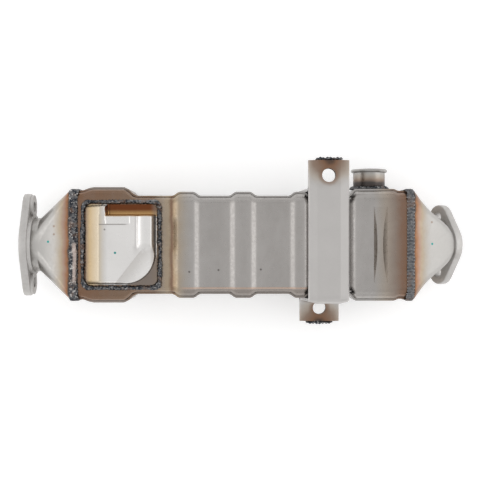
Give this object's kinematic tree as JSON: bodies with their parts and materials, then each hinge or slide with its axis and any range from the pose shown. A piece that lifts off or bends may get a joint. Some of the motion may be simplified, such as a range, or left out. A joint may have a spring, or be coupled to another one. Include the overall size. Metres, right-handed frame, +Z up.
{
  "type": "egr cooler",
  "caption": "Welded stainless exhaust gas cooler with a ribbed jacket, flanged cones, coolant hood, pipe stub and strap bracket.",
  "frame": {"origin": "middle of the underside, at the centre of the overall length and width", "axes": "+X from the gas inlet to the gas outlet, +Y towards the coolant pipe stub, +Z up through the coolant hood"},
  "size_m": [0.3926, 0.1484, 0.0857],
  "materials": {
    "cast_flange": "fine cast stainless, pale and matte",
    "tinted_sheet": "pressed stainless with gold and brown heat tint at the weld",
    "jacket_sheet": "pickled stainless sheet, brown heat tint near the welds",
    "bright_sheet": "bright pressed stainless, gold and brown heat tint at its welded edges",
    "weld_bead": "rough dark grey weld bead",
    "inner_sheet": "plain stainless, inside the jacket"
  },
  "bodies": {
    "root": {"bracket_lower_strap": "bright_sheet", "bracket_upper_strap": "bright_sheet", "coolant_hood": "bright_sheet", "coolant_inlet_pipe": "bright_sheet", "coolant_outlet_port": "cast_flange", "coolant_pipe_weld": "weld_bead", "gas_tube_1": "inner_sheet", "gas_tube_2": "inner_sheet", "gas_tube_3": "inner_sheet", "gas_tube_4": "inner_sheet", "gas_tube_5": "inner_sheet", "gas_tube_6": "inner_sheet", "gas_tube_7": "inner_sheet", "hood_weld": "weld_bead", "inlet_cone": "tinted_sheet", "inlet_cone_weld": "weld_bead", "inlet_flange": "cast_flange", "inlet_header_plate": "inner_sheet", "lower_shell": "jacket_sheet", "lower_tab_weld": "weld_bead", "outlet_cone": "tinted_sheet", "outlet_cone_weld": "weld_bead", "outlet_flange": "cast_flange", "outlet_header_plate": "inner_sheet", "tube_fin_1": "inner_sheet", "tube_fin_2": "inner_sheet", "tube_fin_3": "inner_sheet", "tube_fin_4": "inner_sheet", "tube_fin_5": "inner_sheet", "tube_fin_6": "inner_sheet", "tube_fin_7": "inner_sheet", "upper_shell": "jacket_sheet", "upper_tab_weld": "weld_bead"}
  },
  "joints": []
}
